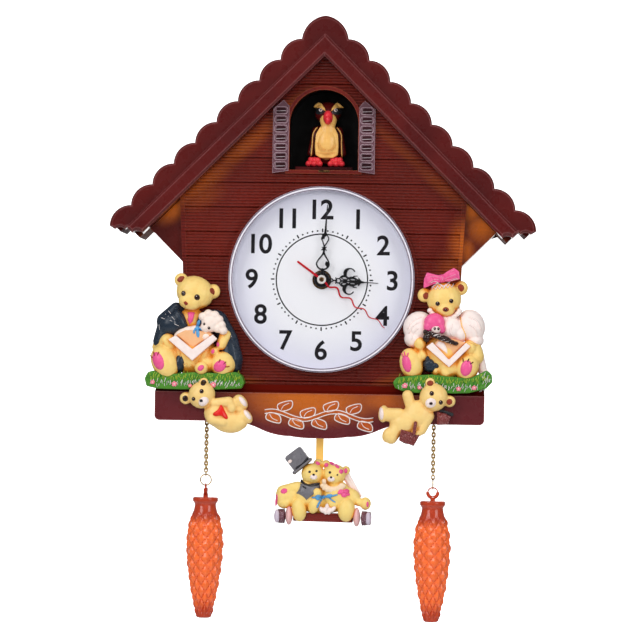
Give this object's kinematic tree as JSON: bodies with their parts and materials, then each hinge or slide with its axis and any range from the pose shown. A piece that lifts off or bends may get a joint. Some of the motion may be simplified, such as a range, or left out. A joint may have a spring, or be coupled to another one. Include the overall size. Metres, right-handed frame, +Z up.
{
  "type": "pendulum wall clock",
  "caption": "Chalet-shaped wall clock with a scalloped roof, round dial, sliding bird, bear figures, swinging pendulum and cone weights on chains.",
  "frame": {"origin": "centre of the hanger hole, on the back plane that lies on the wall", "axes": "+X to the viewer's right, +Z up, the dial faces -Y"},
  "size_m": [0.2988, 0.0696, 0.424],
  "materials": {
    "roof_plastic": "satin dark maroon moulding",
    "roof_side_plastic": "dark brown moulding",
    "wall_plastic": "satin red-brown moulding with a sprayed orange sunburst",
    "case_plastic": "dark red-brown moulding",
    "apron_plastic": "satin moulding, sprayed orange in the middle and maroon at the ends",
    "ornament_plastic": "moulded leaves with white outlines",
    "cover_plastic": "plain dark brown moulding",
    "shutter_plastic": "mauve-brown moulding",
    "rim_plastic": "satin maroon moulding",
    "box_plastic": "black",
    "perch_plastic": "dark maroon",
    "bird_paint": "cream, coral and dark red-brown paint",
    "gear_plastic": "white acetal",
    "motor_metal": "plain can",
    "speaker_black": "black cone and frame",
    "dial_print": "white printed dial",
    "bezel_metal": "polished",
    "lens_clear": "clear",
    "hand_black": "black",
    "hand_red": "red",
    "fitting_brass": "bright",
    "movement_plastic": "black, fine sparked texture",
    "knob_plastic": "ivory",
    "steel": "plain",
    "board": "green laminate",
    "cell": "plain wrapped cell",
    "rod_plastic": "pale orange-yellow",
    "figure_paint": "hand-painted resin",
    "chain_brass": "pale, lightly tarnished",
    "cone_plastic": "orange with maroon ends"
  },
  "bodies": {
    "clock": {"roof_fascia": "roof_plastic", "roof_shell": "roof_side_plastic", "front_wall": "wall_plastic", "case_frame": "case_plastic", "apron_board": "apron_plastic", "apron_ornament": "ornament_plastic", "rear_cover": "cover_plastic", "left_shutter": "shutter_plastic", "right_shutter": "shutter_plastic", "door_rim": "rim_plastic", "bird_box": "box_plastic", "bird_motor": "motor_metal", "speaker": "speaker_black", "dial_plate": "dial_print", "bezel_ring": "bezel_metal", "lens": "lens_clear", "dial_nut_and_washer": "fitting_brass", "centre_bush": "fitting_brass", "drive_coil": "fitting_brass", "motor_coil": "fitting_brass", "movement_front_housing": "movement_plastic", "movement_rear_housing": "movement_plastic", "pendulum_housing": "movement_plastic", "case_screws": "steel", "stator": "steel", "pivot_pin": "steel", "battery_contacts": "steel", "circuit_board": "board", "battery": "cell", "left_figure": "figure_paint", "right_figure": "figure_paint", "left_small_figure": "figure_paint", "right_small_figure": "figure_paint", "chain_hooks": "chain_brass"},
    "minute": {"minute_arbor": "fitting_brass", "minute_hand": "hand_black"},
    "hour": {"hour_wheel": "gear_plastic", "hour_hand": "hand_black"},
    "setting": {"motion_wheel": "gear_plastic", "setting_knob": "knob_plastic"},
    "seconds": {"seconds_wheel": "fitting_brass", "second_hand": "hand_red"},
    "third": {"third_wheel": "gear_plastic"},
    "centre": {"centre_wheel": "gear_plastic"},
    "step": {"step_wheel": "gear_plastic"},
    "motor_rotor": {"rotor": "steel"},
    "pendulum": {"pendulum_hanger": "rod_plastic", "drive_magnet": "steel", "pendulum_rod": "rod_plastic", "bob_figure": "figure_paint"},
    "bird": {"bird_carriage": "perch_plastic", "bird_figure": "bird_paint"},
    "bird_drive": {"bird_pinion": "gear_plastic"},
    "left_hanging_chain": {"left_chain": "chain_brass"},
    "left_weight": {"left_eyelet": "chain_brass", "left_cone": "cone_plastic"},
    "right_hanging_chain": {"right_chain": "chain_brass"},
    "right_weight": {"right_eyelet": "chain_brass", "right_cone": "cone_plastic"},
    "cell_cover": {"battery_cover": "movement_plastic"}
  },
  "joints": [
    {"name": "minute_hand_turn", "type": "hinge", "parent": "clock", "child": "minute", "pos_m": [0, -0.046, -0.046], "axis": [0, 1, 0], "continuous": true},
    {"name": "hour_hand_turn", "type": "hinge", "parent": "clock", "child": "hour", "pos_m": [0, -0.045, -0.046], "axis": [0, 1, 0], "continuous": true},
    {"name": "setting_knob_turn", "type": "hinge", "parent": "clock", "child": "setting", "pos_m": [0, -0.03, -0.034], "axis": [0, 1, 0], "continuous": true},
    {"name": "second_hand_turn", "type": "hinge", "parent": "clock", "child": "seconds", "pos_m": [0, -0.047, -0.046], "axis": [0, 1, 0], "continuous": true},
    {"name": "third_wheel_turn", "type": "hinge", "parent": "clock", "child": "third", "pos_m": [-0.0108, -0.031, -0.046], "axis": [0, 1, 0], "continuous": true},
    {"name": "centre_wheel_turn", "type": "hinge", "parent": "clock", "child": "centre", "pos_m": [0, -0.033, -0.046], "axis": [0, 1, 0], "continuous": true},
    {"name": "step_wheel_turn", "type": "hinge", "parent": "clock", "child": "step", "pos_m": [0.0072, -0.027, -0.046], "axis": [0, 1, 0], "continuous": true},
    {"name": "rotor_turn", "type": "hinge", "parent": "clock", "child": "motor_rotor", "pos_m": [0.0126, -0.03, -0.03957], "axis": [0, 1, 0], "continuous": true},
    {"name": "pendulum_swing", "type": "hinge", "parent": "clock", "child": "pendulum", "pos_m": [0, -0.03, -0.082], "axis": [0, 1, 0], "range_deg": [-7, 7]},
    {"name": "bird_slide", "type": "slide", "parent": "clock", "child": "bird", "axis": [0, -1, 0], "range_m": [0, 0.015]},
    {"name": "bird_pinion_turn", "type": "hinge", "parent": "clock", "child": "bird_drive", "pos_m": [0, -0.0215, 0.0178], "axis": [1, 0, 0], "range_deg": [0, 215]},
    {"name": "left_chain_swing", "type": "hinge", "parent": "clock", "child": "left_hanging_chain", "pos_m": [-0.08, -0.033, -0.1306], "axis": [0, 1, 0], "range_deg": [-12, 12]},
    {"name": "left_weight_swing", "type": "hinge", "parent": "left_hanging_chain", "child": "left_weight", "pos_m": [-0.08, -0.033, -0.1913], "axis": [0, 1, 0], "range_deg": [-12, 12]},
    {"name": "right_chain_swing", "type": "hinge", "parent": "clock", "child": "right_hanging_chain", "pos_m": [0.08, -0.033, -0.1306], "axis": [0, 1, 0], "range_deg": [-12, 12]},
    {"name": "right_weight_swing", "type": "hinge", "parent": "right_hanging_chain", "child": "right_weight", "pos_m": [0.08, -0.033, -0.1913], "axis": [0, 1, 0], "range_deg": [-12, 12]},
    {"name": "battery_cover_lift", "type": "slide", "parent": "clock", "child": "cell_cover", "axis": [0, 1, 0], "range_m": [0, 0.018]}
  ],
  "couplings": [
    {"joint": "hour_hand_turn", "follows": "minute_hand_turn", "ratio": 0.083333},
    {"joint": "setting_knob_turn", "follows": "minute_hand_turn", "ratio": -0.33333},
    {"joint": "third_wheel_turn", "follows": "second_hand_turn", "ratio": -0.13333},
    {"joint": "centre_wheel_turn", "follows": "second_hand_turn", "ratio": 0.016667},
    {"joint": "step_wheel_turn", "follows": "second_hand_turn", "ratio": -5},
    {"joint": "rotor_turn", "follows": "second_hand_turn", "ratio": 30},
    {"joint": "bird_pinion_turn", "follows": "bird_slide", "rad_per_m": 250}
  ]
}
